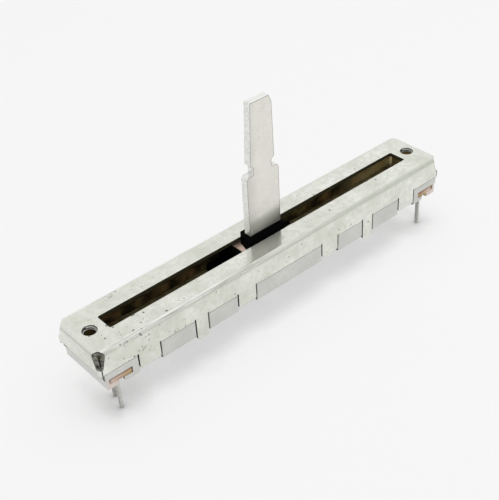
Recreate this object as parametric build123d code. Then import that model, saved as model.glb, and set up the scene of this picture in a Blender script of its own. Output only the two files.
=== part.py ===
from build123d import *
import os

# Slide potentiometer with 60 mm of travel, in a folded steel case.
# Millimetres. +X runs along the travel, +Y across, +Z up.
# The origin is on the surface that the terminal tips stand on, under the
# middle of the case. Heights are worked out from the top face of the cover.

# Driving sizes of the case
travel = 60.0
end_margin = 3.0
case_width = 12.8
case_height = 8.55
pin_reach = 7.05
sheet = 0.8
bend_radius = 1.0
fit_gap = 0.1

# Cover: slot, screw holes, side wall, end flap
slot_margin = 2.55
slot_width = 3.9
slot_corner = 0.35
screw_margin = 2.85
screw_bore = 2.5
screw_countersink = 0.18
wall_drop = 4.65
flap_drop = 4.1
relief_radius = 1.1
relief_inset = 0.2
relief_drop = 3.4
relief_foot = 1.2
seam_width = 0.22
seam_offset = 0.55

# Cover: the tabs on each side wall, outwards from the middle, and the end
# tab inwards from the case's end
short_tab_start = 8.6
short_tab_width = 4.15
long_tab_spacing = 7.25
long_tab_width = 2.65
end_tab_inset = 7.9
end_tab_width = 4.45
short_tab_drop = 7.8
long_tab_drop = 9.25
tab_corner = 0.55
tab_root = 0.25

# Lower case: gaps beside the tabs, forks that hold the board's ears
tab_gap = 0.3
case_bend = 0.45
fork_web = 1.3
fork_arm_inset = 0.8
fork_finger_inset = 4.6
finger_corner = 0.5
dimple_radius = 1.1
dimple_spacing = 27.2
dimple_count = 3

# Resistor board
board_thickness = 1.15
board_drop = 6.2
board_ear_length = 6.1
board_end_setback = 1.8
board_side_gap = 0.15
ear_recess = 0.1
film = 0.05

# Printed tracks
track_width = 1.6
track_inset = 2.6
track_margin = 6.0
electrode_length = 2.5
print_gap = 0.3
lead_width = 1.2

# Terminals, their rivets and the strips that carry them
pin_inset = 3.9
pin_side_inset = 1.9
pin_spacing = 3.1
inner_pin_shift = 0.8
pin_width = 0.8
pin_thickness = 0.4
pin_tip_width = 0.4
pin_tip_length = 0.9
rivet_inset = 2.65
rivet_hole = 1.1
rivet_wall = 0.2
rivet_head = 1.7
rivet_lip = 0.22
lug_width = 1.9
strip_thickness = 0.55
strip_inset = 3.5
strip_end_setback = 1.05
strip_wall = 0.5
strip_wall_side_gap = 0.4

# Slider: long runner on the board, block in the case, neck in the slot
slider_centre = -0.7
runner_length = 21.0
runner_thickness = 0.7
runner_gap = 0.4
block_length = 13.4
slider_side_gap = 0.2
slider_top_gap = 0.55
neck_front_left = 5.1
neck_back_left = 4.15
neck_right = 4.1
neck_gap = 0.2
neck_rise = 1.3
block_edge = 0.3
skid_start = 5.5
skid_length = 3.0
skid_width = 0.8
skid_gap = 0.1
pocket_wall = 0.9
pocket_depth = 2.0

# Lever
lever_rise = 28.2
lever_thickness = 1.5
lever_width = 7.65
lever_shoulder = 13.9
lever_notch_top = 16.0
lever_notch_width = 4.35
lever_upper_width = 5.75
lever_tip_left = 2.0
lever_tip_right = 2.75
lever_tip_cut_width = 0.6
lever_tip_cut_height = 1.4
lever_tip_corner = 0.2
lever_shoulder_corner = 0.5
lever_root = 1.75

# Wiper under the slider and leaf spring on top of it
strip_metal = 0.2
wiper_plate_length = 4.6
wiper_plate_margin = 1.2
wiper_reach = 3.2
wiper_finger = 0.6
wiper_finger_gap = 0.2
wiper_lift = 0.04
peg_radius = 0.6
peg_head = 1.0
peg_head_height = 0.25
peg_offset = 1.9
leaf_half_width = 3.4
leaf_bar = 0.6
leaf_flat = 6.6
leaf_lift = 0.06
leaf_end = 1.1
leaf_window = 0.15
leaf_side_window = 0.3
leaf_tab_width = 1.9
leaf_tab_reach = 1.1

# Lengths that follow from the travel
slot_length = travel + neck_front_left + neck_right + 2 * slot_margin
screw_pitch = slot_length + 2 * screw_margin
half_length = screw_pitch / 2 + end_margin
short_tab_end = short_tab_start + short_tab_width
long_tab_start = short_tab_end + long_tab_spacing
long_tab_end = long_tab_start + long_tab_width
end_tab_outer = half_length - end_tab_inset
end_tab_inner = end_tab_outer - end_tab_width
fork_arm_end = half_length - fork_arm_inset
fork_finger_end = half_length - fork_finger_inset
board_ear_start = half_length - board_ear_length
track_half_length = travel / 2 + track_margin
pin_x = half_length - pin_inset
rivet_x = half_length - rivet_inset
strip_inner_x = half_length - strip_inset

# Heights and half sizes that follow
top_z = pin_reach + case_height
half_width = case_width / 2
inner_half_width = half_width - sheet
track_offset = inner_half_width - track_inset
pin_outer_y = half_width - pin_side_inset
pin_inner_y = pin_outer_y - pin_spacing
slider_half_width = inner_half_width - slider_side_gap
wiper_half_width = track_offset + wiper_plate_margin
neck_half_width = slot_width / 2 - neck_gap
case_bottom_z = top_z - case_height
board_top_z = top_z - board_drop
board_bottom_z = board_top_z - board_thickness
board_half_length = half_length - board_end_setback
ear_half_width = half_width - ear_recess
cover_under_z = top_z - sheet
lug_bottom_z = board_bottom_z - pin_thickness
strip_bottom_z = lug_bottom_z - strip_thickness
slider_top_z = cover_under_z - slider_top_gap
slider_bottom_z = board_top_z + runner_gap
neck_top_z = top_z + neck_rise
track_top_z = board_top_z + film


def block(x0, x1, y0, y1, z0, z1):
    """A box between two corners."""
    size = (x1 - x0, y1 - y0, z1 - z0)
    return Pos((x0 + x1) / 2, (y0 + y1) / 2, (z0 + z1) / 2) * Box(*size)


def drum(x, y, z0, z1, radius):
    """An upright cylinder from z0 to z1."""
    return Pos(x, y, (z0 + z1) / 2) * Cylinder(radius, z1 - z0)


def side_plate(points, y0, y1):
    """An outline in x and z, made a plate from y0 to y1."""
    face = Plane.XZ * make_face(Polyline(*points, close=True))
    return Pos(0, y1, 0) * extrude(face, y1 - y0)


def plan_plate(points, z0, z1):
    """An outline in x and y, made a plate from z0 to z1."""
    face = make_face(Polyline(*points, close=True))
    return Pos(0, 0, z0) * extrude(face, z1 - z0)


def corners(part, axis, at_x=None, at_z=None, tolerance=1e-3):
    """The edges along an axis that lie at the named places."""
    found = part.edges().filter_by(axis)
    if at_x is not None:
        found = found.filter_by(lambda e: abs(abs(e.center().X) - at_x) < tolerance)
    if at_z is not None:
        found = found.filter_by(lambda e: abs(e.center().Z - at_z) < tolerance)
    return found


def both_ends(part):
    """A part and its mirror image at the other end."""
    return [part, part.mirror(Plane.YZ)]


def both_sides(part):
    """A part and its mirror image on the other side."""
    return [part, part.mirror(Plane.XZ)]


def four_corners(part):
    """A part at all four corners of the case."""
    return [copy for side in both_sides(part) for copy in both_ends(side)]


# Cover, folded from one sheet
tabs = [
    (short_tab_start, short_tab_end, short_tab_drop),
    (long_tab_start, long_tab_end, long_tab_drop),
    (end_tab_inner, end_tab_outer, short_tab_drop),
]


def make_tab(inner, outer, drop):
    """One tab of the side wall, with rounded lower corners."""
    tab = block(inner, outer, -half_width, -inner_half_width, top_z - drop, top_z - wall_drop)
    lower = tab.edges().filter_by(Axis.Y).group_by(Axis.Z)[0]
    return fillet(lower, tab_corner)


def make_tab_roots(inner, outer):
    """The two small nicks cut up into the wall beside a tab."""
    low = top_z - wall_drop
    return [block(x - tab_gap / 2, x + tab_gap / 2, -half_width - sheet, -inner_half_width + sheet,
                  low - tab_root, low + tab_root)
            for x in (inner - tab_gap / 2, outer + tab_gap / 2)]


def make_corner_relief():
    """The keyhole at a corner: round on top, narrowing down the corner."""
    hole = drum(half_length - relief_inset, half_width - relief_inset,
                top_z - relief_drop / 2, top_z + sheet, relief_radius)
    slope = Polyline(
        (-relief_radius, sheet),
        (relief_radius, sheet),
        (relief_radius, -bend_radius),
        (relief_foot / 2, -relief_drop),
        (-relief_foot / 2, -relief_drop),
        (-relief_radius, -bend_radius),
        close=True,
    )
    inner_corner = (half_length - sheet - fit_gap, inner_half_width - fit_gap, top_z)
    outward = Plane(origin=inner_corner, x_dir=(-1, 1, 0), z_dir=(1, 1, 0))
    return hole + extrude(outward * make_face(slope), 2 * bend_radius + sheet)


def make_seam():
    """The thin gap between a flap's foot and the side wall, below the relief."""
    x = half_length - seam_offset
    high = top_z - relief_drop
    low = top_z - wall_drop
    return block(x - seam_width / 2, x + seam_width / 2, inner_half_width - sheet,
                 half_width + sheet, low - sheet, high + seam_width)


def make_cover():
    """The top shell with its slot, tapped holes, tabs and end flaps."""
    shell = block(-half_length, half_length, -half_width, half_width, top_z - wall_drop, top_z)
    upright = shell.edges().filter_by(Axis.Z)
    shell = fillet(upright, bend_radius * 0.6)
    shell = fillet(shell.faces().sort_by(Axis.Z)[-1].edges(), bend_radius)
    room = block(-half_length + sheet, half_length - sheet, -inner_half_width,
                 inner_half_width, top_z - wall_drop - sheet, cover_under_z)
    room = chamfer(room.faces().sort_by(Axis.Z)[-1].edges(), bend_radius - sheet)
    shell -= room
    flap_gap = block(-half_length - sheet, half_length + sheet, -inner_half_width,
                     inner_half_width, top_z - wall_drop - sheet, top_z - flap_drop)
    shell -= flap_gap
    shell -= four_corners(make_corner_relief())
    shell -= four_corners(make_seam())
    for inner, outer, drop in tabs:
        for nick in make_tab_roots(inner, outer):
            shell -= four_corners(nick)
        shell += four_corners(make_tab(inner, outer, drop))
    slot = block(-slot_length / 2, slot_length / 2, -slot_width / 2, slot_width / 2,
                 cover_under_z - sheet, top_z + sheet)
    shell -= fillet(slot.edges().filter_by(Axis.Z), slot_corner)
    mouth = Pos(screw_pitch / 2, 0, top_z - screw_countersink / 2) * Cone(
        screw_bore / 2, screw_bore / 2 + screw_countersink, screw_countersink)
    bore = drum(screw_pitch / 2, 0, cover_under_z - sheet, top_z + sheet, screw_bore / 2)
    shell -= both_ends(bore + mouth)
    return shell


# Lower case, folded from one sheet, with panels that stand in the cover's windows
def make_fork():
    """The end of a side panel: an arm over the board's ear, a finger under it."""
    web_start = end_tab_outer + tab_gap
    web_end = web_start + fork_web
    high = top_z - wall_drop - fit_gap
    outline = [
        (web_start, case_bottom_z),
        (fork_finger_end, case_bottom_z),
        (fork_finger_end, board_bottom_z - fit_gap),
        (web_end, board_bottom_z - fit_gap),
        (web_end, board_top_z + fit_gap),
        (fork_arm_end, board_top_z + fit_gap),
        (fork_arm_end, high),
        (web_start, high),
    ]
    fork = side_plate(outline, -half_width, -inner_half_width)
    foot = corners(fork, Axis.Y, at_x=fork_finger_end, at_z=case_bottom_z)
    return fillet(foot, finger_corner)


def make_lower_case():
    """The tray: a floor on dimples' height below the board, and side panels."""
    floor_end = end_tab_outer + tab_gap + fork_web
    high = top_z - wall_drop - fit_gap
    panels = [
        (-short_tab_start + tab_gap, short_tab_start - tab_gap),
        (short_tab_end + tab_gap, long_tab_start - tab_gap),
        (long_tab_end + tab_gap, end_tab_inner - tab_gap),
    ]
    tray = block(-floor_end, floor_end, -half_width, half_width, case_bottom_z, high)
    room = block(-floor_end - sheet, floor_end + sheet, -inner_half_width, inner_half_width,
                 case_bottom_z + sheet, high + sheet)
    tray -= room
    for inner, outer, _ in tabs:
        notch = block(inner - tab_gap, outer + tab_gap, -half_width - sheet,
                      -inner_half_width + tab_gap, case_bottom_z - sheet, high + sheet)
        tray -= four_corners(notch)
    tray += four_corners(make_fork())
    low_edges = tray.edges().filter_by(Axis.X).filter_by(
        lambda e: abs(e.center().Z - case_bottom_z) < 1e-3
        and abs(abs(e.center().Y) - half_width) < 1e-3)
    tray = fillet(low_edges, case_bend)
    for number in range(dimple_count):
        x = (number - (dimple_count - 1) / 2) * dimple_spacing
        rise = board_bottom_z - case_bottom_z - sheet
        boss = Pos(x, 0, board_bottom_z - rise / 2) * Cone(
            dimple_radius + rise / 2, dimple_radius, rise)
        hollow = drum(x, 0, case_bottom_z - sheet, case_bottom_z + rise, dimple_radius - rise / 2)
        tray = tray + boss - hollow
    return tray


# Resistor board and what is printed on it
rivets = {
    "1": (-rivet_x, -pin_outer_y),
    "2": (-rivet_x, -pin_inner_y),
    "3": (rivet_x, -pin_outer_y),
    "4": (rivet_x, pin_outer_y),
}


def rivet_bores(z0, z1):
    """The holes for all the rivets, from z0 to z1."""
    return [drum(x, y, z0, z1, rivet_hole / 2) for x, y in rivets.values()]


def make_board():
    """A narrow board with a wide ear at each end."""
    side = inner_half_width - board_side_gap
    strip = block(-board_half_length, board_half_length, -side, side,
                  board_bottom_z, board_top_z)
    ear = block(board_ear_start, board_half_length, -ear_half_width, ear_half_width,
                board_bottom_z, board_top_z)
    board = strip + both_ends(ear)
    board = chamfer(corners(board, Axis.Z, at_x=board_half_length), 0.3)
    return board - rivet_bores(board_bottom_z - film, board_top_z + film)


def printed(outlines):
    """A film on the board, made of rectangles, open where the rivets pass."""
    pieces = [block(x0, x1, y0, y1, board_top_z, track_top_z) for x0, x1, y0, y1 in outlines]
    return Part() + pieces - rivet_bores(board_bottom_z, track_top_z + film)


def make_prints():
    """The resistive track, its two end electrodes and the collector track."""
    low = -track_offset - track_width / 2
    high = -track_offset + track_width / 2
    pad = rivet_head / 2
    far = rivet_x + pad
    join = track_half_length
    lead = join + electrode_length
    outer = -pin_outer_y
    inner = -pin_inner_y
    electrode = printed([
        (join, lead, low, high),
        (lead - lead_width, far, outer - pad, outer + pad),
    ])
    collector = printed([
        (-join, join, track_offset - track_width / 2, track_offset + track_width / 2),
        (-far, -join, track_offset - lead_width / 2, track_offset + lead_width / 2),
        (-far, -lead - print_gap, inner - lead_width / 2, track_offset + lead_width / 2),
    ])
    return {
        "resistive_track": printed([(-join, join, low, high)]),
        "electrode_right": electrode,
        "electrode_left": electrode.mirror(Plane.YZ),
        "collector_track": collector,
    }


# Terminals: a lug under the board with a pin bent down from it
def make_terminal(x, y):
    """One terminal, its lug under a rivet and its pin towards the middle."""
    side = 1 if x > 0 else -1
    place = pin_x if abs(y) == pin_outer_y else pin_x - inner_pin_shift
    near = side * (place - pin_thickness / 2)
    far = side * (rivet_x + lug_width / 2)
    lug = block(min(near, far), max(near, far), y - lug_width / 2, y + lug_width / 2,
                lug_bottom_z, board_bottom_z)
    lug = chamfer(lug.edges().filter_by(Axis.Z), 0.3)
    half = pin_width / 2
    outline = [
        (y - half, board_bottom_z),
        (y - half, pin_tip_length),
        (y - pin_tip_width / 2, 0),
        (y + pin_tip_width / 2, 0),
        (y + half, pin_tip_length),
        (y + half, board_bottom_z),
    ]
    face = Plane.YZ * make_face(Polyline(*outline, close=True))
    pin = Pos(side * place - pin_thickness / 2, 0, 0) * extrude(face, pin_thickness)
    bore = drum(x, y, lug_bottom_z - film, board_bottom_z + film, rivet_hole / 2)
    return lug + pin - bore


def make_rivet(x, y):
    """A hollow rivet through the film, the board, the lug and the strip."""
    top = track_top_z
    barrel = drum(x, y, strip_bottom_z, top, rivet_hole / 2)
    upper = drum(x, y, top, top + rivet_lip, rivet_head / 2)
    lower = drum(x, y, strip_bottom_z - rivet_lip, strip_bottom_z, rivet_head / 2)
    hole = drum(x, y, strip_bottom_z - 1, top + 1, rivet_hole / 2 - rivet_wall)
    return barrel + upper + lower - hole


def make_strip(side):
    """The insulating strip under the lugs at one end, and its wall below the flap."""
    end = half_length - strip_end_setback
    strip = block(strip_inner_x, end, -ear_half_width, ear_half_width,
                  strip_bottom_z, board_bottom_z)
    strip = fillet(strip.edges().filter_by(Axis.Z), 0.4)
    strip += block(end - strip_wall, end, -ear_half_width, ear_half_width,
                   strip_bottom_z, board_top_z)
    wall_half = inner_half_width - strip_wall_side_gap
    strip += block(end - strip_wall, end, -wall_half, wall_half,
                   board_bottom_z, top_z - flap_drop - fit_gap)
    if side < 0:
        strip = strip.mirror(Plane.YZ)
    for x, y in rivets.values():
        if x * side < 0:
            continue
        near = side * (strip_inner_x - 1)
        far = side * (rivet_x + lug_width / 2 + fit_gap)
        half = lug_width / 2 + fit_gap
        strip -= block(min(near, far), max(near, far), y - half, y + half,
                       lug_bottom_z, board_bottom_z + film)
    return strip - rivet_bores(strip_bottom_z - film, board_bottom_z)


# Lever: a flat plate with a notch on each edge that holds a knob
def make_lever():
    """The plate, from its root in the slider to its tapered tip."""
    half = lever_width / 2
    notch = lever_notch_width / 2
    upper = lever_upper_width / 2
    root_z = slider_top_z - lever_root
    tip_z = top_z + lever_rise
    profile = [
        (half, root_z),
        (half, top_z + lever_shoulder - lever_shoulder_corner),
        (half - lever_shoulder_corner, top_z + lever_shoulder),
        (notch, top_z + lever_shoulder),
        (notch, top_z + lever_notch_top - (upper - notch)),
        (upper, top_z + lever_notch_top),
    ]
    tip = [
        (lever_tip_right, tip_z - lever_tip_cut_height),
        (lever_tip_right - lever_tip_cut_width, tip_z),
        (-lever_tip_left, tip_z),
        (-lever_tip_left - lever_tip_corner, tip_z - lever_tip_corner),
    ]
    outline = profile + tip + [(-x, z) for x, z in reversed(profile)]
    plate = side_plate(outline, -lever_thickness / 2, lever_thickness / 2)
    return Pos(slider_centre, 0, 0) * plate


# Slider: the black moulding that runs in the case
def neck_plan(gap):
    """The neck's outline seen from above, one end askew, with a gap left round it."""
    side = neck_half_width
    return [
        (-neck_front_left - gap, -side),
        (neck_right + gap, -side),
        (neck_right + gap, side),
        (-neck_back_left - gap, side),
    ]


def make_slider():
    """Runner, block, neck, skids, wiper pegs, and the slit that grips the lever."""
    half = block_length / 2
    side = slider_half_width
    runner = block(-runner_length / 2, runner_length / 2, -side, side,
                   slider_bottom_z, slider_bottom_z + runner_thickness)
    runner = chamfer(runner.edges().filter_by(Axis.Z), skid_width)
    middle = block(-half, half, -side, side, slider_bottom_z, slider_top_z)
    middle = chamfer(middle.faces().sort_by(Axis.Z)[-1].edges(), block_edge)
    pocket = block(-half + pocket_wall, half - pocket_wall, -side + pocket_wall,
                   side - pocket_wall, slider_bottom_z - 1, slider_bottom_z + pocket_depth)
    skid = block(skid_start, skid_start + skid_length, side - skid_width, side,
                 track_top_z + skid_gap, slider_bottom_z)
    neck = plan_plate(neck_plan(0), slider_top_z, neck_top_z)
    body = runner + middle - pocket + neck + four_corners(skid)
    roof = slider_bottom_z + pocket_depth
    pegs = [drum(0, y, roof - strip_metal, roof, peg_radius) for y in (-peg_offset, peg_offset)]
    heads = [drum(0, y, roof - strip_metal - peg_head_height, roof - strip_metal, peg_head)
             for y in (-peg_offset, peg_offset)]
    body = Pos(slider_centre, 0, 0) * (body + pegs + heads)
    return body - make_lever()


def make_wiper():
    """The contact plate with its two pairs of fingers bent down to the tracks."""
    roof = slider_bottom_z + pocket_depth
    plate = block(-wiper_plate_length / 2, wiper_plate_length / 2, -wiper_half_width,
                  wiper_half_width, roof - strip_metal, roof)
    for y in (-peg_offset, peg_offset):
        plate -= drum(0, y, roof - 1, roof + 1, peg_radius)
    start = wiper_plate_length / 2
    touch = track_top_z + wiper_lift
    drop = roof - touch
    run = wiper_reach
    outline = [
        (start, roof),
        (start + run * 0.82, touch + strip_metal * 1.4),
        (start + run, touch + drop * 0.22),
        (start + run, touch + drop * 0.22 - strip_metal),
        (start + run * 0.82, touch),
        (start, roof - strip_metal),
    ]
    for centre in (-track_offset, track_offset):
        for step in (-0.5, 0.5):
            y = centre + step * (wiper_finger + wiper_finger_gap)
            plate += side_plate(outline, y - wiper_finger / 2, y + wiper_finger / 2)
    return Pos(slider_centre, 0, 0) * plate


def make_leaf():
    """The forked spring round the neck, whose two tips press up under the cover."""
    start = -neck_front_left - leaf_window - leaf_bar
    bend = start + leaf_flat
    end = block_length / 2 - block_edge
    seat = slider_top_z
    high = cover_under_z - leaf_lift
    outline = [
        (start, seat),
        (bend, seat),
        (end - leaf_end, high - strip_metal),
        (end, high - strip_metal),
        (end, high),
        (end - leaf_end, high),
        (bend, seat + strip_metal),
        (start, seat + strip_metal),
    ]
    leaf = side_plate(outline, -leaf_half_width, leaf_half_width)
    leaf -= plan_plate(neck_plan(leaf_window), seat - 1, cover_under_z)
    side = neck_half_width + leaf_side_window
    leaf -= block(-neck_back_left, end + 1, -side, side, seat - 1, cover_under_z)
    leaf += block(end - leaf_tab_width, end, -side, -side + leaf_tab_reach,
                  high - strip_metal, high)
    return Pos(slider_centre, 0, 0) * leaf


def make_parts():
    """Every piece of the assembly, by name."""
    parts = {
        "cover": make_cover(),
        "lower_case": make_lower_case(),
        "resistor_board": make_board(),
        "terminal_strip_left": make_strip(-1),
        "terminal_strip_right": make_strip(1),
        "slider": make_slider(),
        "lever": make_lever(),
        "wiper": make_wiper(),
        "leaf_spring": make_leaf(),
    }
    parts.update(make_prints())
    for number, (x, y) in rivets.items():
        parts["terminal_" + number] = make_terminal(x, y)
        parts["terminal_rivet_" + number] = make_rivet(x, y)
    return parts


os.makedirs("parts", exist_ok=True)
for name, shape in make_parts().items():
    export_step(shape, "parts/" + name + ".step")
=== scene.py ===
import bpy, bmesh, math
from mathutils import Vector, Matrix


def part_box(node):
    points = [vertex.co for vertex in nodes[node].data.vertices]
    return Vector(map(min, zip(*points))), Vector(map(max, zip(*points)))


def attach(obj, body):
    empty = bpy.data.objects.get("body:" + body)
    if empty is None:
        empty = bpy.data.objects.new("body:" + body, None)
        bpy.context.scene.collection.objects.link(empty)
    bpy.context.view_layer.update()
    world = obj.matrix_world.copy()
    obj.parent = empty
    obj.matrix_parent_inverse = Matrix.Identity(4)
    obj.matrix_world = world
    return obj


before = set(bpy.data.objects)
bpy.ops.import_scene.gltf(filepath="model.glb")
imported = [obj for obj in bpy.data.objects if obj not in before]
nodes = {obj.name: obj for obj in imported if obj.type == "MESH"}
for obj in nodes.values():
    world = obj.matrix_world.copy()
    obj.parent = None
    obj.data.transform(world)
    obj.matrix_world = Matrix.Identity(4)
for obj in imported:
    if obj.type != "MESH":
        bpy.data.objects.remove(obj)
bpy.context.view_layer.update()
mm = 0.001
caseEnd, caseSide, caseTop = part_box("cover")[1]
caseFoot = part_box("lower_case")[0][2]
print("stage: frame loaded")


# camera, set to the photograph's view
cameraSetup = {
    "place": (-0.09508, -0.11053, 0.11986), "turn": (53.25, 2.939, -41.586),
    "lens": 68.35, "sensor": 36.0, "near": 5 * mm,
}
cameraData = bpy.data.cameras.new("camera")
cameraData.lens = cameraSetup["lens"]
cameraData.sensor_width = cameraSetup["sensor"]
cameraData.clip_start = cameraSetup["near"]
camera = bpy.data.objects.new("camera", cameraData)
camera.location = cameraSetup["place"]
camera.rotation_euler = [math.radians(angle) for angle in cameraSetup["turn"]]
bpy.context.collection.objects.link(camera)
bpy.context.scene.camera = camera
bpy.context.scene.view_settings.view_transform = "Standard"
print("stage: camera placed")


# small helpers for building materials
def newMaterial(name):
    material = bpy.data.materials.new(name)
    material.use_nodes = True
    tree = material.node_tree
    shader = tree.nodes["Principled BSDF"]
    coords = tree.nodes.new("ShaderNodeTexCoord")
    return material, tree, shader, coords.outputs["Object"]


def feed(tree, socket, value):
    if isinstance(value, bpy.types.NodeSocket):
        tree.links.new(value, socket)
    else:
        socket.default_value = value


def addNode(tree, kind, inputs=None, **settings):
    node = tree.nodes.new(kind)
    for key, value in settings.items():
        setattr(node, key, value)
    for key, value in (inputs or {}).items():
        feed(tree, node.inputs[key], value)
    return node


def mathNode(tree, operation, a, b=0.0, clamp=False):
    node = tree.nodes.new("ShaderNodeMath")
    node.operation = operation
    node.use_clamp = clamp
    feed(tree, node.inputs[0], a)
    feed(tree, node.inputs[1], b)
    return node.outputs[0]


def vectorNode(tree, operation, a, b=None):
    node = tree.nodes.new("ShaderNodeVectorMath")
    node.operation = operation
    feed(tree, node.inputs[0], a)
    if b is not None:
        feed(tree, node.inputs[1], b)
    return node.outputs["Value" if operation in ("LENGTH", "DISTANCE", "DOT_PRODUCT") else "Vector"]


def times(tree, first, *others):
    for other in others:
        first = mathNode(tree, "MULTIPLY", first, other)
    return first


def most(tree, first, *others):
    for other in others:
        first = mathNode(tree, "MAXIMUM", first, other)
    return first


def plus(tree, a, b):
    return mathNode(tree, "ADD", a, b)


def absolute(tree, value):
    return mathNode(tree, "ABSOLUTE", value)


def under(tree, value, limit):
    return mathNode(tree, "LESS_THAN", value, limit)


def over(tree, value, limit):
    return mathNode(tree, "GREATER_THAN", value, limit)


def splitVector(tree, vector):
    return addNode(tree, "ShaderNodeSeparateXYZ", {"Vector": vector}).outputs


def rampNode(tree, value, low, high, start=0.0, end=1.0):
    return addNode(tree, "ShaderNodeMapRange", {
        "Value": value, "From Min": low, "From Max": high, "To Min": start, "To Max": end},
        clamp=True).outputs["Result"]


def mixValue(tree, factor, a, b):
    node = addNode(tree, "ShaderNodeMix", data_type="FLOAT")
    for socket, value in zip(node.inputs[0:1] + node.inputs[2:4], (factor, a, b)):
        feed(tree, socket, value)
    return node.outputs[0]


def mixColor(tree, factor, a, b):
    node = addNode(tree, "ShaderNodeMix", data_type="RGBA")
    for socket, value in zip(node.inputs[0:1] + node.inputs[6:8], (factor, a, b)):
        feed(tree, socket, value)
    return node.outputs[2]


def newGroup(name, inputs, outputs):
    # inputs are label, socket kind and default value, outputs are labels, and only Normal is a vector
    group = bpy.data.node_groups.new(name, "ShaderNodeTree")
    for label, kind, value in inputs:
        socket = group.interface.new_socket(label, in_out="INPUT", socket_type=kind)
        if value is not None:
            socket.default_value = value
    for label in outputs:
        kind = "NodeSocketVector" if label == "Normal" else "NodeSocketFloat"
        group.interface.new_socket(label, in_out="OUTPUT", socket_type=kind)
    start = group.nodes.new("NodeGroupInput")
    end = group.nodes.new("NodeGroupOutput")
    return group, start.outputs, end.inputs


def placeGroup(tree, group, inputs=None):
    node = tree.nodes.new("ShaderNodeGroup")
    node.node_tree = group
    for key, value in (inputs or {}).items():
        feed(tree, node.inputs[key], value)
    return node.outputs


def placeMesh(name, builder, material):
    mesh = bpy.data.meshes.new(name)
    builder.to_mesh(mesh)
    builder.free()
    mesh.materials.append(material)
    item = bpy.data.objects.new(name, mesh)
    bpy.context.collection.objects.link(item)
    return item


# shared effects, each made once
edgeSetup = {"radius": 0.1 * mm, "sharpness": 5.0, "samples": 6}


def makeEdgeGroup():
    # where a face nears a sharp edge, and the normal of the softened edge
    group, given, result = newGroup(
        "edgeSoftening",
        [("Radius", "NodeSocketFloat", edgeSetup["radius"]),
         ("Sharpness", "NodeSocketFloat", edgeSetup["sharpness"])],
        ["Mask", "Normal"])
    bevel = addNode(group, "ShaderNodeBevel", {"Radius": given["Radius"]}, samples=edgeSetup["samples"])
    flat = group.nodes.new("ShaderNodeNewGeometry")
    dot = vectorNode(group, "DOT_PRODUCT", bevel.outputs["Normal"], flat.outputs["True Normal"])
    bent = mathNode(group, "SUBTRACT", 1.0, dot, clamp=True)
    group.links.new(mathNode(group, "MULTIPLY", bent, given["Sharpness"], clamp=True), result["Mask"])
    group.links.new(bevel.outputs["Normal"], result["Normal"])
    return group


grainSetup = {"stretch": (140.0, 3200.0, 3200.0), "roughness": 0.58,
              "fineDetail": 2.0, "mottleDetail": 4.0, "cloudDetail": 3.0, "streakDetail": 2.0}


def makeGrainGroup():
    # rolled sheet: fine grain, blotches a millimetre wide, slow clouds and lengthwise streaks
    s = grainSetup
    group, given, result = newGroup(
        "sheetGrain",
        [("Vector", "NodeSocketVector", None), ("Fine Scale", "NodeSocketFloat", None),
         ("Mottle Scale", "NodeSocketFloat", None), ("Cloud Scale", "NodeSocketFloat", None)],
        ["Grain", "Mottle", "Cloud", "Streak"])
    stretched = vectorNode(group, "MULTIPLY", given["Vector"], s["stretch"])
    for label, vector, scale, detail in (
            ("Grain", given["Vector"], given["Fine Scale"], s["fineDetail"]),
            ("Mottle", given["Vector"], given["Mottle Scale"], s["mottleDetail"]),
            ("Cloud", given["Vector"], given["Cloud Scale"], s["cloudDetail"]),
            ("Streak", stretched, 1.0, s["streakDetail"])):
        noise = addNode(group, "ShaderNodeTexNoise", {
            "Vector": vector, "Scale": scale, "Detail": detail, "Roughness": s["roughness"]})
        group.links.new(noise.outputs["Fac"], result[label])
    return group


placeInputs = [("Vector", "NodeSocketVector", None), ("Centre", "NodeSocketVector", None),
               ("Reach", "NodeSocketFloat", None)]
fullWithin = 0.3  # share of the reach inside which an effect is at full strength


def nearCentre(group, given, gain, least):
    # gain plus least close to the centre, and least past the reach
    away = vectorNode(group, "DISTANCE", given["Vector"], given["Centre"])
    fade = rampNode(group, mathNode(group, "DIVIDE", away, given["Reach"]), 1.0, fullWithin)
    return plus(group, times(group, fade, gain), least)


speckSetup = {"shakeScale": 4000.0, "shake": 0.4 * mm, "nearGain": 6.0, "farShare": 0.5,
              "sizeSpan": 0.20, "sizeLeast": 0.10}


def makeSpeckGroup():
    # a few dark specks, thicker round one place
    s = speckSetup
    group, given, result = newGroup(
        "darkSpecks",
        placeInputs + [("Scale", "NodeSocketFloat", None), ("Amount", "NodeSocketFloat", None)],
        ["Mask"])
    shaken = addNode(group, "ShaderNodeTexNoise", {"Vector": given["Vector"], "Scale": s["shakeScale"]})
    shift = vectorNode(group, "MULTIPLY", shaken.outputs["Color"], (s["shake"], s["shake"], s["shake"]))
    moved = vectorNode(group, "ADD", given["Vector"], shift)
    cells = addNode(group, "ShaderNodeTexVoronoi", {"Vector": moved, "Scale": given["Scale"]})
    split = addNode(group, "ShaderNodeSeparateColor", {"Color": cells.outputs["Color"]})
    share = times(group, given["Amount"], nearCentre(group, given, s["nearGain"], s["farShare"]))
    chance = under(group, split.outputs["Red"], share)
    size = plus(group, times(group, split.outputs["Green"], s["sizeSpan"]), s["sizeLeast"])
    dot = under(group, cells.outputs["Distance"], size)
    group.links.new(times(group, dot, chance), result["Mask"])
    return group


scratchSetup = {"scale": 420.0, "detail": 2.0, "distortion": 1.2, "width": 0.012,
                "patchScale": 330.0, "patchDetail": 1.0, "patchRange": (0.56, 0.64),
                "nearGain": 0.8, "farShare": 0.2}


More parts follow.
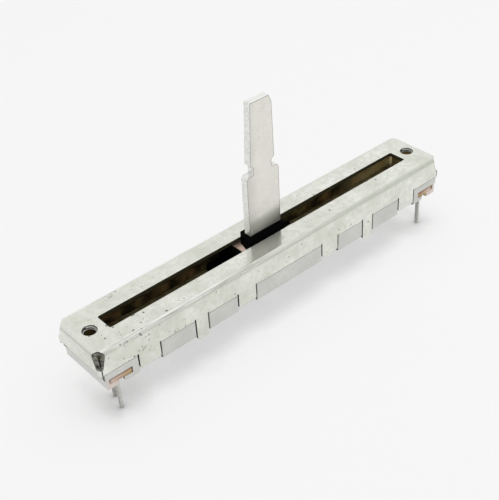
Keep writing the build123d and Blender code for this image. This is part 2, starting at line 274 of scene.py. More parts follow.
def makeScratchGroup():
    # hair scratches: thin contour lines of a slow noise, kept in scattered patches
    s = scratchSetup
    group, given, result = newGroup("hairScratches", placeInputs, ["Mask"])
    lines = addNode(group, "ShaderNodeTexNoise", {
        "Vector": given["Vector"], "Scale": s["scale"], "Detail": s["detail"],
        "Distortion": s["distortion"]})
    offset = absolute(group, mathNode(group, "SUBTRACT", lines.outputs["Fac"], 0.5))
    thin = under(group, offset, s["width"])
    patch = addNode(group, "ShaderNodeTexNoise", {
        "Vector": given["Vector"], "Scale": s["patchScale"], "Detail": s["patchDetail"]})
    shown = rampNode(group, patch.outputs["Fac"], *s["patchRange"])
    near = nearCentre(group, given, s["nearGain"], s["farShare"])
    group.links.new(times(group, thin, shown, near), result["Mask"])
    return group


facingSetup = {"bendRange": (0.05, 0.30)}


def makeFacingGroup():
    # how far a face looks along the length, across and up, and 1 on the rounded bends
    group, given, result = newGroup("facing", [], ["Along", "Across", "Up", "Bend"])
    geometry = addNode(group, "ShaderNodeNewGeometry")
    normal = splitVector(group, geometry.outputs["True Normal"])
    along = absolute(group, normal["X"])
    across = absolute(group, normal["Y"])
    bend = times(group, most(group, along, across), most(group, normal["Z"], 0.0))
    group.links.new(along, result["Along"])
    group.links.new(across, result["Across"])
    group.links.new(normal["Z"], result["Up"])
    group.links.new(rampNode(group, bend, *facingSetup["bendRange"]), result["Bend"])
    return group


# where the case's hidden faces lie, measured from the frame's own box
insideSetup = {
    "sheet": 0.8 * mm, "slotHalf": 37.2 * mm, "slotSide": 1.98 * mm,
    "holeInset": 0.2 * mm, "holeReach": 1.9 * mm, "boreX": 40.0 * mm, "boreRadius": 1.37 * mm,
    "wallDrop": 4.4 * mm, "tabsEnd": 38.5 * mm, "gapOuter": 0.3 * mm, "slack": 0.05 * mm,
    "rightFrom": 25.0 * mm, "rimDrop": 0.4 * mm, "uprightBelow": 0.5, "endOn": 0.8,
}


def makeInsideGroup():
    # masks for the inner faces, the slot's cut faces, the corner holes, the bores, the tabs' edges
    # and the gaps between them, and how deep a point lies and how far to the right
    labels = ["Inner", "Cut", "Hole", "Bore", "Tab", "Gap", "Deep", "Right", "Rim", "Any"]
    group, given, result = newGroup("insideOfCase", [("Vector", "NodeSocketVector", None)], labels)
    s = insideSetup
    axes = splitVector(group, given["Vector"])
    sideX = absolute(group, axes["X"])
    sideY = absolute(group, axes["Y"])
    height = axes["Z"]
    geometry = addNode(group, "ShaderNodeNewGeometry")
    normal = splitVector(group, geometry.outputs["True Normal"])
    upright = under(group, absolute(group, normal["Z"]), s["uprightBelow"])
    inSheet = over(group, height, caseTop - s["sheet"] - s["slack"])
    inner = times(group,
                  under(group, sideX, caseEnd - s["sheet"] + s["slack"]),
                  under(group, sideY, caseSide - s["sheet"] + s["slack"]),
                  under(group, height, caseTop - s["sheet"] + s["slack"]),
                  over(group, height, caseFoot + s["sheet"] - s["slack"]))
    cut = times(group, upright, under(group, sideX, s["slotHalf"]),
                under(group, sideY, s["slotSide"]), inSheet)
    # a face belongs to a corner hole when it looks at the hole's axis from close by
    sizes = vectorNode(group, "ABSOLUTE", given["Vector"])
    level = (1.0, 1.0, 0.0)
    axis = (caseEnd - s["holeInset"], caseSide - s["holeInset"], 0.0)
    toward = vectorNode(group, "MULTIPLY", vectorNode(group, "SUBTRACT", axis, sizes), level)
    outward = vectorNode(group, "MULTIPLY", geometry.outputs["True Normal"],
                         vectorNode(group, "SIGN", given["Vector"]))
    hole = times(group, upright,
                 under(group, vectorNode(group, "LENGTH", toward), s["holeReach"]),
                 over(group, vectorNode(group, "DOT_PRODUCT", toward, outward), s["slack"]))
    fromBore = vectorNode(group, "MULTIPLY",
                          vectorNode(group, "SUBTRACT", sizes, (s["boreX"], 0.0, 0.0)), level)
    bore = times(group, under(group, vectorNode(group, "LENGTH", fromBore), s["boreRadius"]), inSheet)
    # the tabs' left edges, and the faces across the gaps that lie behind the outer skin
    amongTabs = times(group, under(group, height, caseTop - s["wallDrop"]),
                      under(group, sideX, s["tabsEnd"]))
    tab = times(group, under(group, normal["X"], -s["endOn"]), amongTabs)
    gap = times(group, over(group, absolute(group, normal["X"]), s["endOn"]), amongTabs,
                under(group, sideY, caseSide - s["gapOuter"]))
    masks = {
        "Inner": inner, "Cut": cut, "Hole": hole, "Bore": bore, "Tab": tab, "Gap": gap,
        "Deep": rampNode(group, height, caseTop - s["sheet"], caseTop - s["wallDrop"]),
        "Right": rampNode(group, axes["X"], s["rightFrom"], s["slotHalf"]),
        "Rim": over(group, height, caseTop - s["rimDrop"]),
        "Any": most(group, inner, cut, hole, bore, gap),
    }
    for label in labels:
        group.links.new(masks[label], result[label])
    return group


edgeGroup = makeEdgeGroup()
grainGroup = makeGrainGroup()
speckGroup = makeSpeckGroup()
scratchGroup = makeScratchGroup()
facingGroup = makeFacingGroup()
insideGroup = makeInsideGroup()
print("stage: shared effects made")


sheetSetup = {"cloudRange": (0.3, 0.7), "mottleRange": (0.38, 0.68), "roughRange": (0.3, 0.7),
              "smoothBump": 0.2, "bumpDistance": 0.02 * mm}
faceOnRange = (0.4, 0.6)  # turns a facing value into a mask with a narrow soft step


def smoothing(tree, coords, look):
    # 0 where the sheet is gritty and 1 where it is smooth
    if "smoothRange" not in look:
        return 0.0
    return rampNode(tree, splitVector(tree, coords)["X"], *look["smoothRange"])


def sheetBase(tree, coords, look):
    # cloudy colour with blotches and grain, and paler edges that are partly wear and partly a painted
    # highlight
    s = sheetSetup
    grain = placeGroup(tree, grainGroup, {
        "Vector": coords, "Fine Scale": look["grainScale"], "Mottle Scale": look["mottleScale"],
        "Cloud Scale": look["cloudScale"]})
    edges = placeGroup(tree, edgeGroup, {"Radius": look["edgeRadius"]})
    color = mixColor(tree, rampNode(tree, grain["Cloud"], *s["cloudRange"]), look["dark"], look["light"])
    grit = mixValue(tree, smoothing(tree, coords, look), look["grainDepth"], 0.0)
    blotch = times(tree, rampNode(tree, grain["Mottle"], *s["mottleRange"]), look["mottleDepth"])
    color = mixColor(tree, blotch, color, look["mottleColor"])
    color = mixColor(tree, times(tree, grain["Grain"], grit), color, look["grainColor"])
    # paler edges: partly wear, partly a painted highlight
    color = mixColor(tree, times(tree, edges["Mask"], look["edgeLight"]), color, look["edgeWearAndSheenColor"])
    return grain, edges, color


def roughOf(tree, grain, look):
    return rampNode(tree, grain["Mottle"], *sheetSetup["roughRange"], look["roughLow"], look["roughHigh"])


def finishSheet(tree, shader, coords, grain, edges, look, color, rough):
    # sets the colour, roughness and bump that every finish shares
    tree.links.new(color, shader.inputs["Base Color"])
    tree.links.new(rough, shader.inputs["Roughness"])
    shader.inputs["Specular IOR Level"].default_value = look.get("shine", 0.5)
    height = plus(tree, times(tree, grain["Grain"], look["bumpGrain"]),
                  times(tree, grain["Streak"], look["bumpStreak"]))
    height = times(tree, height, mixValue(tree, smoothing(tree, coords, look), 1.0,
                                          sheetSetup["smoothBump"]))
    bump = addNode(tree, "ShaderNodeBump", {
        "Height": height, "Normal": edges["Normal"], "Strength": look["bump"],
        "Distance": sheetSetup["bumpDistance"]})
    tree.links.new(bump.outputs["Normal"], shader.inputs["Normal"])


# folded sheet of the cover and the lower case
def paintedBendSheen(tree, coords, grain, facing, look, color, rough):
    # painted highlight in bright streaks on the crown of each bend, over a painted dark reflection line
    # on the bend's lower half, fading to an unlit bend colour towards the right end
    highlightFade = rampNode(tree, splitVector(tree, coords)["X"], *look["highlightFadeRange"])
    crown = rampNode(tree, facing["Up"], *look["crownRange"])
    # the streaks run along the case, so the end bends get an even painted highlight instead
    streaks = mixValue(tree, rampNode(tree, facing["Along"], *look["endRange"]),
                       rampNode(tree, grain["Streak"], *look["streakRange"]), look["endSheen"])
    # painted highlight on the bend's upper half, painted dark reflection on its lower half
    bendSheen = mixColor(tree, times(tree, crown, streaks), look["bendDarkReflection"], look["bendColor"])
    bendSheen = mixColor(tree, highlightFade, bendSheen, look["unlitBend"])
    color = mixColor(tree, times(tree, facing["Bend"], look["bendDepth"]), color, bendSheen)
    rough = mixValue(tree, facing["Bend"], rough,
                     mixValue(tree, highlightFade, look["bendRough"], look["dullRough"]))
    return color, rough


def speckled(tree, coords, look, color):
    specks = placeGroup(tree, speckGroup, {
        "Vector": coords, "Scale": look["speckScale"], "Amount": look["speckAmount"],
        "Centre": look["speckCentre"], "Reach": look["speckReach"]})
    color = mixColor(tree, times(tree, specks["Mask"], look["speckDepth"]), color, look["speckColor"])
    scratches = placeGroup(tree, scratchGroup, {
        "Vector": coords, "Centre": look["scratchCentre"], "Reach": look["scratchReach"]})
    return mixColor(tree, times(tree, scratches["Mask"], look["scratchDepth"]), color,
                    look["speckColor"])


def paintedInsideShade(tree, coords, grain, inside, look, color):
    # painted shade and painted light inside the case: a cloudy dark brown, darkest under the top plate
    # and lighter with warm patches deeper down as painted reflected light, paling into a painted pool of
    # light towards the right end; painted shade on the slot's cut faces, the gaps and the bores; spotted
    # painted shade in the corner holes, darkest at their rim
    cloudy = rampNode(tree, grain["Cloud"], *look["insideShadeRange"])
    warmth = addNode(tree, "ShaderNodeTexNoise", {"Vector": coords, "Scale": look["innerScale"]})
    lit = mixColor(tree, rampNode(tree, warmth.outputs["Fac"], *look["warmRange"]),
                   look["innerLight"], look["innerWarm"])
    insideShade = mixColor(tree, times(tree, cloudy, inside["Deep"], inside["Deep"]), look["innerDark"], lit)
    insideShade = mixColor(tree, inside["Right"], insideShade, look["innerRight"])
    spotted = mixColor(tree, rampNode(tree, grain["Mottle"], *look["holeRange"]),
                       look["holeDark"], look["holeColor"])
    corner = mixColor(tree, inside["Rim"], spotted, look["holeDark"])
    for label, paint in (("Inner", insideShade), ("Gap", look["innerDark"]), ("Cut", look["cutColor"]),
                         ("Hole", corner), ("Bore", look["boreColor"])):
        color = mixColor(tree, inside[label], color, paint)
    return color


def makeFolded(name, look):
    material, tree, shader, coords = newMaterial(name)
    grain, edges, color = sheetBase(tree, coords, look)
    facing = placeGroup(tree, facingGroup)
    inside = placeGroup(tree, insideGroup, {"Vector": coords})
    rough = roughOf(tree, grain, look)
    if "bendColor" in look:
        color, rough = paintedBendSheen(tree, coords, grain, facing, look, color, rough)
    if "speckAmount" in look:
        color = speckled(tree, coords, look, color)
    color = paintedInsideShade(tree, coords, grain, inside, look, color)
    hidden = inside["Any"]
    # the tabs' left cut faces painted near black: painted shade of the narrow gaps beside them, on a cut
    # edge that is dark itself
    if "tabEdgeShade" in look:
        color = mixColor(tree, inside["Tab"], color, look["tabEdgeShade"])
        hidden = most(tree, hidden, inside["Tab"])
    rough = mixValue(tree, hidden, rough, look["innerRough"])
    tree.links.new(mixValue(tree, hidden, look["metal"], 0.0), shader.inputs["Metallic"])
    finishSheet(tree, shader, coords, grain, edges, look, color, rough)
    return material


# colours of the painted shade and painted light inside the case
insideLook = {
    "innerDark": (0.024, 0.018, 0.006, 1), "innerLight": (0.30, 0.225, 0.08, 1),
    "innerWarm": (0.36, 0.195, 0.08, 1), "innerRight": (0.80, 0.68, 0.34, 1),
    "innerScale": 110.0, "innerRough": 0.55, "insideShadeRange": (0.42, 0.62), "warmRange": (0.44, 0.58),
    "cutColor": (0.035, 0.03, 0.013, 1), "boreColor": (0.06, 0.06, 0.05, 1),
    "holeColor": (0.30, 0.30, 0.25, 1), "holeDark": (0.06, 0.06, 0.045, 1), "holeRange": (0.42, 0.58),
}
coverLook = {
    **insideLook,
    "dark": (0.70, 0.715, 0.64, 1), "light": (0.91, 0.915, 0.86, 1), "cloudScale": 190.0,
    "mottleColor": (0.62, 0.635, 0.55, 1), "mottleScale": 900.0, "mottleDepth": 0.52,
    "grainColor": (0.58, 0.60, 0.51, 1), "grainScale": 3200.0, "grainDepth": 0.30,
    "edgeWearAndSheenColor": (0.92, 0.92, 0.88, 1), "edgeRadius": 0.08 * mm, "edgeLight": 0.5,
    "smoothRange": (-15 * mm, 30 * mm),
    "roughLow": 0.12, "roughHigh": 0.26, "metal": 0.80,
    "bump": 0.16, "bumpGrain": 0.7, "bumpStreak": 0.4,
    # painted highlight and painted dark reflection on the bends, fading to an unlit colour on the right
    "bendColor": (0.97, 0.97, 0.94, 1), "bendDarkReflection": (0.56, 0.57, 0.50, 1),
    "bendRough": 0.45, "bendDepth": 0.75, "crownRange": (0.35, 0.62), "streakRange": (0.62, 0.42),
    "endRange": (0.1, 0.3), "endSheen": 0.5,
    "unlitBend": (0.66, 0.68, 0.60, 1), "dullRough": 0.6, "highlightFadeRange": (-12 * mm, 18 * mm),
    "speckAmount": 0.10, "speckScale": 1200.0, "speckColor": (0.10, 0.11, 0.07, 1), "speckDepth": 0.75,
    "speckCentre": (-35.5 * mm, -3.6 * mm, 15.6 * mm), "speckReach": 8 * mm,
    "scratchCentre": (-30 * mm, -6.4 * mm, 13 * mm), "scratchReach": 16 * mm, "scratchDepth": 0.6,
    "tabEdgeShade": (0.02, 0.02, 0.016, 1),
}
caseLook = {
    **insideLook,
    "dark": (0.62, 0.62, 0.595, 1), "light": (0.73, 0.73, 0.70, 1), "cloudScale": 200.0,
    "mottleColor": (0.60, 0.60, 0.56, 1), "mottleScale": 1400.0, "mottleDepth": 0.3,
    "grainColor": (0.50, 0.51, 0.46, 1), "grainScale": 5000.0, "grainDepth": 0.16,
    "edgeWearAndSheenColor": (0.92, 0.92, 0.88, 1), "edgeRadius": 0.08 * mm, "edgeLight": 0.6,
    "roughLow": 0.38, "roughHigh": 0.5, "metal": 0.6,
    "bump": 0.25, "bumpGrain": 0.8, "bumpStreak": 0.5,
}


# plain metal pieces: the lever, the terminals, the rivets and the springs
def paintedBladeShade(tree, coords, grain, look, color):
    # pale torn cut faces, and on the flat faces painted shade: a dark outline along the edges, a darker
    # left flank and a dark foot that stands in for the shade and dark reflection low on the lever
    facing = placeGroup(tree, facingGroup)
    axes = splitVector(tree, coords)
    torn = mixColor(tree, rampNode(tree, grain["Streak"], *look["tornRange"]),
                    look["cutDark"], look["cutLight"])
    outline = placeGroup(tree, edgeGroup, {"Radius": look["rimRadius"], "Sharpness": look["rimDepth"]})
    rimShade = times(tree, outline["Mask"], facing["Across"])
    flankShade = rampNode(tree, axes["X"], *look["flankRange"])
    footShade = mathNode(tree, "SUBTRACT", axes["Z"], times(tree, axes["X"], look["footLean"]))
    footShade = rampNode(tree, footShade, *look["footRange"])
    for mask in (rimShade, times(tree, flankShade, look["flankDepth"]), times(tree, footShade, footShade, look["footDepth"])):
        color = mixColor(tree, mask, color, look["rimAndShadeColor"])
    cut = mathNode(tree, "SUBTRACT", 1.0, facing["Across"], clamp=True)
    return mixColor(tree, rampNode(tree, cut, *faceOnRange), color, torn)


def makeMetal(name, look):
    material, tree, shader, coords = newMaterial(name)
    grain, edges, color = sheetBase(tree, coords, look)
    if "cutLight" in look:
        color = paintedBladeShade(tree, coords, grain, look, color)
    shader.inputs["Metallic"].default_value = look["metal"]
    finishSheet(tree, shader, coords, grain, edges, look, color, roughOf(tree, grain, look))
    return material


leverLook = {
    "dark": (0.77, 0.755, 0.70, 1), "light": (0.86, 0.845, 0.785, 1), "cloudScale": 120.0,
    "mottleColor": (0.70, 0.685, 0.62, 1), "mottleScale": 700.0, "mottleDepth": 0.35,
    "grainColor": (0.55, 0.53, 0.47, 1), "grainScale": 4500.0, "grainDepth": 0.14,
    "edgeWearAndSheenColor": (0.90, 0.90, 0.86, 1), "edgeRadius": 0.16 * mm, "edgeLight": 0.3,
    "roughLow": 0.18, "roughHigh": 0.28, "metal": 0.65,
    "bump": 0.18, "bumpGrain": 0.7, "bumpStreak": 0.4,
    "cutLight": (0.92, 0.92, 0.89, 1), "cutDark": (0.70, 0.70, 0.67, 1), "tornRange": (0.35, 0.60),
    # painted shade on the lever's outline, left flank and foot
    "rimAndShadeColor": (0.22, 0.215, 0.19, 1), "rimDepth": 9.0, "rimRadius": 0.3 * mm,
    "flankRange": (-1.8 * mm, -4.2 * mm), "flankDepth": 0.24,
    "footRange": (21.5 * mm, 16.9 * mm), "footLean": 0.35, "footDepth": 0.9,
}
terminalLook = {
    "dark": (0.58, 0.58, 0.55, 1), "light": (0.72, 0.72, 0.69, 1), "cloudScale": 400.0,
    "mottleColor": (0.50, 0.50, 0.46, 1), "mottleScale": 1200.0, "mottleDepth": 0.35,
    "grainColor": (0.55, 0.55, 0.50, 1), "grainScale": 9000.0, "grainDepth": 0.10,
    "edgeWearAndSheenColor": (0.85, 0.85, 0.82, 1), "edgeRadius": 0.06 * mm, "edgeLight": 0.5,
    "roughLow": 0.22, "roughHigh": 0.36, "metal": 0.75,
    "bump": 0.2, "bumpGrain": 0.8, "bumpStreak": 0.2,
}
threadLook = {**terminalLook, "dark": (0.34, 0.34, 0.31, 1), "light": (0.56, 0.56, 0.51, 1), "metal": 0.3}
rivetLook = {
    "dark": (0.26, 0.23, 0.15, 1), "light": (0.40, 0.36, 0.25, 1), "cloudScale": 900.0,
    "mottleColor": (0.22, 0.19, 0.12, 1), "mottleScale": 2400.0, "mottleDepth": 0.4,
    "grainColor": (0.30, 0.28, 0.20, 1), "grainScale": 9000.0, "grainDepth": 0.2,
    "edgeWearAndSheenColor": (0.50, 0.46, 0.34, 1), "edgeRadius": 0.05 * mm, "edgeLight": 0.3,
    "roughLow": 0.42, "roughHigh": 0.58, "metal": 0.5,
    "bump": 0.2, "bumpGrain": 0.8, "bumpStreak": 0.1,
}
bronzeLook = {
    "dark": (0.56, 0.40, 0.32, 1), "light": (0.70, 0.54, 0.46, 1), "cloudScale": 300.0,
    "mottleColor": (0.52, 0.38, 0.30, 1), "mottleScale": 1500.0, "mottleDepth": 0.3,
    "grainColor": (0.62, 0.45, 0.36, 1), "grainScale": 8000.0, "grainDepth": 0.10,
    "edgeWearAndSheenColor": (0.86, 0.76, 0.68, 1), "edgeRadius": 0.04 * mm, "edgeLight": 0.5,
    "roughLow": 0.30, "roughHigh": 0.45, "metal": 0.7,
    "bump": 0.2, "bumpGrain": 0.5, "bumpStreak": 0.8,
}


# resistor board: brown laminate whose cut edge shows its layers
def makeBoard(name, look):
    material, tree, shader, coords = newMaterial(name)
    grain, edges, color = sheetBase(tree, coords, look)
    boardEnd, _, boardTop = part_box("resistor_board")[1]
    axes = splitVector(tree, coords)
    facing = placeGroup(tree, facingGroup)
    # towards the ends the edge turns pale, and its uppermost layer is dark
    toEnd = rampNode(tree, absolute(tree, axes["X"]), look["paleStart"], boardEnd)
    toEnd = mathNode(tree, "MULTIPLY", toEnd, plus(tree, grain["Mottle"], look["paleLift"]), clamp=True)
    color = mixColor(tree, toEnd, color, look["paleEdge"])
    layers = rampNode(tree, grain["Streak"], *look["layerRange"])
    unfaded = mathNode(tree, "SUBTRACT", 1.0, times(tree, toEnd, look["layerFade"]))
    color = mixColor(tree, times(tree, layers, look["layerDepth"], unfaded), color, look["layerColor"])
    topmost = rampNode(tree, axes["Z"], boardTop - look["darkLayer"], boardTop)
    color = mixColor(tree, topmost, color, look["rimAndShadeColor"])
    # the upward faces darker: a dark top coat, deepened as painted shade inside the case
    top = mixColor(tree, rampNode(tree, grain["Cloud"], *look["topRange"]),
                   look["topDark"], look["topLight"])
    color = mixColor(tree, rampNode(tree, facing["Up"], *faceOnRange), color, top)
    finishSheet(tree, shader, coords, grain, edges, look, color, roughOf(tree, grain, look))
    return material


boardLook = {
    "dark": (0.44, 0.25, 0.10, 1), "light": (0.66, 0.46, 0.20, 1), "cloudScale": 600.0,
    "mottleColor": (0.30, 0.17, 0.08, 1), "mottleScale": 1800.0, "mottleDepth": 0.5,
    "grainColor": (0.66, 0.50, 0.32, 1), "grainScale": 4000.0, "grainDepth": 0.25,
    "edgeWearAndSheenColor": (0.66, 0.48, 0.34, 1), "edgeRadius": 0.05 * mm, "edgeLight": 0.2,
    "paleStart": 37.6 * mm, "paleEdge": (0.72, 0.55, 0.49, 1), "paleLift": 0.55,
    "layerColor": (0.24, 0.12, 0.05, 1), "layerRange": (0.46, 0.54), "layerDepth": 0.75,
    "layerFade": 0.7, "darkLayer": 0.5 * mm, "rimAndShadeColor": (0.22, 0.15, 0.10, 1),
    "topDark": (0.17, 0.14, 0.055, 1), "topLight": (0.32, 0.265, 0.13, 1), "topRange": (0.36, 0.64),
    "roughLow": 0.42, "roughHigh": 0.58, "bump": 0.2, "bumpGrain": 0.8, "bumpStreak": 0.3,
}


# mouldings, the pale strips and the printed inks
def makeDull(name, look):
    material, tree, shader, coords = newMaterial(name)
    grain, edges, color = sheetBase(tree, coords, look)
    if "endColor" in look:
        # the strip's outer end is grey, and its inner end faces are brown
        facing = placeGroup(tree, facingGroup)
        deep = rampNode(tree, absolute(tree, splitVector(tree, coords)["X"]),
                        look["outerX"], look["outerX"] - look["outerStep"])
        end = mixColor(tree, deep, look["endColor"], look["deepColor"])
        color = mixColor(tree, rampNode(tree, facing["Along"], *faceOnRange), color, end)
    shader.inputs["Metallic"].default_value = look.get("metal", 0.0)
    finishSheet(tree, shader, coords, grain, edges, look, color, roughOf(tree, grain, look))
    return material


stripLook = {
    "dark": (0.70, 0.59, 0.54, 1), "light": (0.82, 0.75, 0.70, 1), "cloudScale": 500.0,
    "mottleColor": (0.66, 0.52, 0.46, 1), "mottleScale": 1500.0, "mottleDepth": 0.3,
    "grainColor": (0.80, 0.74, 0.68, 1), "grainScale": 4000.0, "grainDepth": 0.2,
    "edgeWearAndSheenColor": (0.88, 0.84, 0.79, 1), "edgeRadius": 0.06 * mm, "edgeLight": 0.4,
    "endColor": (0.77, 0.765, 0.73, 1), "deepColor": (0.56, 0.48, 0.25, 1),
    "outerX": 41.8 * mm, "outerStep": 0.05 * mm,
    "roughLow": 0.4, "roughHigh": 0.55, "bump": 0.15, "bumpGrain": 0.8, "bumpStreak": 0.0,
}
mouldingLook = {
    "dark": (0.001, 0.001, 0.0012, 1), "light": (0.002, 0.002, 0.0023, 1), "cloudScale": 500.0,
    "mottleColor": (0.0015, 0.0015, 0.0017, 1), "mottleScale": 1500.0, "mottleDepth": 0.3,
    "grainColor": (0.003, 0.003, 0.0034, 1), "grainScale": 5000.0, "grainDepth": 0.3,
    "edgeWearAndSheenColor": (0.02, 0.02, 0.02, 1), "edgeRadius": 0.10 * mm, "edgeLight": 0.2,
    "roughLow": 0.5, "roughHigh": 0.65, "shine": 0.01, "bump": 0.2, "bumpGrain": 0.8, "bumpStreak": 0.0,
}
carbonLook = {
    "dark": (0.010, 0.010, 0.010, 1), "light": (0.03, 0.03, 0.03, 1), "cloudScale": 500.0,
    "mottleColor": (0.015, 0.015, 0.015, 1), "mottleScale": 1500.0, "mottleDepth": 0.3,
    "grainColor": (0.05, 0.05, 0.05, 1), "grainScale": 6000.0, "grainDepth": 0.3,
    "edgeWearAndSheenColor": (0.06, 0.06, 0.06, 1), "edgeRadius": 0.02 * mm, "edgeLight": 0.2,
    "roughLow": 0.45, "roughHigh": 0.6, "bump": 0.3, "bumpGrain": 0.8, "bumpStreak": 0.0,
}
silverLook = {
    "dark": (0.30, 0.27, 0.17, 1), "light": (0.42, 0.38, 0.25, 1), "cloudScale": 500.0,
    "mottleColor": (0.30, 0.27, 0.17, 1), "mottleScale": 1500.0, "mottleDepth": 0.3,
    "grainColor": (0.46, 0.43, 0.32, 1), "grainScale": 6000.0, "grainDepth": 0.3,
    "edgeWearAndSheenColor": (0.5, 0.46, 0.36, 1), "edgeRadius": 0.02 * mm, "edgeLight": 0.2,
    "roughLow": 0.4, "roughHigh": 0.55, "metal": 0.4, "bump": 0.3, "bumpGrain": 0.8, "bumpStreak": 0.0,
}

finishes = {
    "cover": makeFolded("brightCoverSteel", coverLook),
    "lower_case": makeFolded("greyCaseSteel", caseLook),
    "lever": makeMetal("satinLeverSteel", leverLook),
    "terminal": makeMetal("tinnedTerminal", terminalLook),
    "thread": makeMetal("threadSteel", threadLook),
    "rivet": makeMetal("dullRivet", rivetLook),
    "bronze": makeMetal("springBronze", bronzeLook),
    "resistor_board": makeBoard("brownLaminate", boardLook),
    "strip": makeDull("paleLaminate", stripLook),
    "slider": makeDull("blackMoulding", mouldingLook),
    "resistive_track": makeDull("carbonInk", carbonLook),
    "silver": makeDull("silverInk", silverLook),
}


def finishOf(name):
    # the first start of a name that fits gives the finish, so the longer starts come first
    for start, finish in (("terminal_strip", "strip"), ("terminal_rivet", "rivet"),
                          ("terminal", "terminal"), ("wiper", "bronze"), ("leaf_spring", "bronze"),
                          ("electrode", "silver"), ("collector", "silver")):
        if name.startswith(start):
            return finishes[finish]
    return finishes[name]


for name, piece in nodes.items():
    piece.data.materials.clear()
    piece.data.materials.append(finishOf(name))
nodes["slider"].visible_glossy = False  # its mirror image would hide the lever's in the top plate
print("stage: finishes set on", len(nodes), "nodes")


# thread turns in the two tapped holes: a three-point crest spun up the bore
threadSetup = {"x": 40.0 * mm, "bottom": 14.82 * mm, "root": 1.27 * mm, "crest": 1.08 * mm,
               "pitch": 0.40 * mm, "half": 0.10 * mm, "turns": 1.25, "steps": 40}
threadShape = ((threadSetup["root"], -threadSetup["half"]), (threadSetup["crest"], 0.0),
               (threadSetup["root"], threadSetup["half"]))
threadBuilder = bmesh.new()
for side in (-1, 1):
    bore = side * threadSetup["x"]
    profile = [threadBuilder.verts.new((bore + radius, 0.0, threadSetup["bottom"] + rise))
               for radius, rise in threadShape]
    lines = [threadBuilder.edges.new(pair) for pair in (profile[:2], profile[1:])]
    bmesh.ops.spin(threadBuilder, geom=profile + lines, cent=(bore, 0.0, 0.0), axis=(0, 0, 1),
                   dvec=(0.0, 0.0, threadSetup["pitch"] / threadSetup["steps"]),
                   angle=threadSetup["turns"] * 2 * math.pi,
                   steps=int(threadSetup["turns"] * threadSetup["steps"]), use_merge=False)
bmesh.ops.recalc_face_normals(threadBuilder, faces=threadBuilder.faces)
threads = placeMesh("hole_threads", threadBuilder, finishes["thread"])
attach(threads, "case")
print("stage: thread turns cut")


# a thin dark sheet behind the cover's tabs, seen only through the gaps: it stands in for shade and keeps
# light from showing through the gaps
shadeSheetSetup = {"half": 38.2 * mm, "thick": 0.04 * mm, "inset": 0.02 * mm, "rise": 0.06 * mm,
              "tall": 1.7 * mm}
shadeSheetSide = caseSide - insideSetup["sheet"] - shadeSheetSetup["inset"]
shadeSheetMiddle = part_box("resistor_board")[1][2] + shadeSheetSetup["rise"] + shadeSheetSetup["tall"] / 2
shadeSheetStretch = Matrix.Diagonal((2 * shadeSheetSetup["half"], shadeSheetSetup["thick"], shadeSheetSetup["tall"], 1.0))
shadeSheetBuilder = bmesh.new()
for side in (-1, 1):
    spot = Matrix.Translation((0.0, side * shadeSheetSide, shadeSheetMiddle))
    bmesh.ops.create_cube(shadeSheetBuilder, size=1.0, matrix=spot @ shadeSheetStretch)
shadeSheet = placeMesh("gap_shade_sheet", shadeSheetBuilder, finishes["lower_case"])
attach(shadeSheet, "case")
print("stage: wall liner set behind the gaps")


# floor: pale, and part of its brightness to the camera doesn't depend on the light; ambient occlusion
# darkens that part near the object as a painted contact shadow
floorSetup = {"half": 1.5, "color": (0.865, 0.865, 0.865, 1), "glow": 0.69, "glowDark": 0.25,
              "shadeReach": 7.4 * mm, "shadePower": 2.4, "shadeSamples": 16,
              "rough": 0.9, "shine": 0.1}
floorMaterial, floorTree, floorShader, _ = newMaterial("paleFloor")
floorPath = addNode(floorTree, "ShaderNodeLightPath")
floorSeen = floorPath.outputs["Is Camera Ray"]
dimmed = [c * floorSetup["glowDark"] for c in floorSetup["color"][:3]] + [1]
floorTree.links.new(mixColor(floorTree, floorSeen, floorSetup["color"], dimmed),
                    floorShader.inputs["Base Color"])
# painted contact shadow: ambient occlusion near the object darkens the floor's glow
near = addNode(floorTree, "ShaderNodeAmbientOcclusion", {"Distance": floorSetup["shadeReach"]},
               samples=floorSetup["shadeSamples"])
shade = mathNode(floorTree, "POWER", near.outputs["AO"], floorSetup["shadePower"])
floorTree.links.new(times(floorTree, floorSeen, shade, floorSetup["glow"]),
                    floorShader.inputs["Emission Strength"])
for label, value in (("Emission Color", (1, 1, 1, 1)), ("Roughness", floorSetup["rough"]),
                     ("Specular IOR Level", floorSetup["shine"])):
    floorShader.inputs[label].default_value = value
floorBuilder = bmesh.new()
bmesh.ops.create_grid(floorBuilder, x_segments=1, y_segments=1, size=floorSetup["half"])
floor = placeMesh("floor", floorBuilder, floorMaterial)

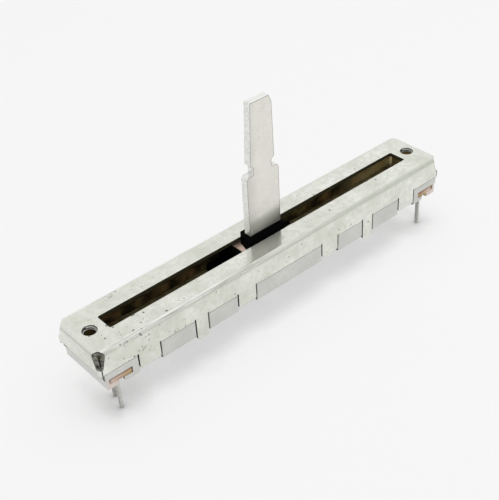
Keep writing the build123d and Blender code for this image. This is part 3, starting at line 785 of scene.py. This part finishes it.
lamps = [
    {"name": "overhead", "place": (0.02, 0.08, 0.62), "size": 0.78, "power": 1.75},
    {"name": "overheadRight", "place": (0.22, -0.06, 0.50), "size": 0.42, "power": 0.50},
    {"name": "front", "place": (-0.05, -0.25, 0.50), "size": 0.50, "power": 0.66},
]
lampAim = Vector((0, 0, 10 * mm))
for lamp in lamps:
    data = bpy.data.lights.new(lamp["name"], "AREA")
    data.shape = "SQUARE"
    data.size = lamp["size"]
    data.energy = lamp["power"]
    item = bpy.data.objects.new(lamp["name"], data)
    item.location = lamp["place"]
    item.rotation_euler = (lampAim - Vector(lamp["place"])).to_track_quat("-Z", "Y").to_euler()
    item.visible_glossy = False  # the steel mirrors the bright room, not the lamps
    bpy.context.collection.objects.link(item)

# a grey card at the front right, which only shows as a reflection in the steel
cardSetup = {"radius": 0.15, "segments": 32, "place": (0.24, -0.30, 0.27), "color": (0.14, 0.14, 0.14, 1)}
cardTurn = Vector(cardSetup["place"]).to_track_quat("Z", "Y").to_matrix().to_4x4()
cardMaterial, _, cardShader, _ = newMaterial("cardGrey")
cardShader.inputs["Base Color"].default_value = cardSetup["color"]
cardBuilder = bmesh.new()
bmesh.ops.create_circle(cardBuilder, cap_ends=True, segments=cardSetup["segments"],
                        radius=cardSetup["radius"],
                        matrix=Matrix.Translation(cardSetup["place"]) @ cardTurn)
card = placeMesh("grey_card", cardBuilder, cardMaterial)
card.visible_camera = False
card.visible_diffuse = False
card.visible_shadow = False

# the room: bright where it is seen or mirrored, plainer where it only lights
roomSetup = {"color": (1, 1, 1, 1), "seen": 0.90, "lighting": 0.50}
world = bpy.data.worlds.new("paleRoom")
bpy.context.scene.world = world
world.use_nodes = True
room = world.node_tree
background = room.nodes["Background"]
background.inputs["Color"].default_value = roomSetup["color"]
roomPath = addNode(room, "ShaderNodeLightPath")
roomSeen = most(room, *[roomPath.outputs[ray] for ray in ("Is Camera Ray", "Is Glossy Ray",
                                                          "Is Transmission Ray")])
room.links.new(mixValue(room, roomSeen, roomSetup["lighting"], roomSetup["seen"]),
               background.inputs["Strength"])
print("stage: floor, lamps and room placed")
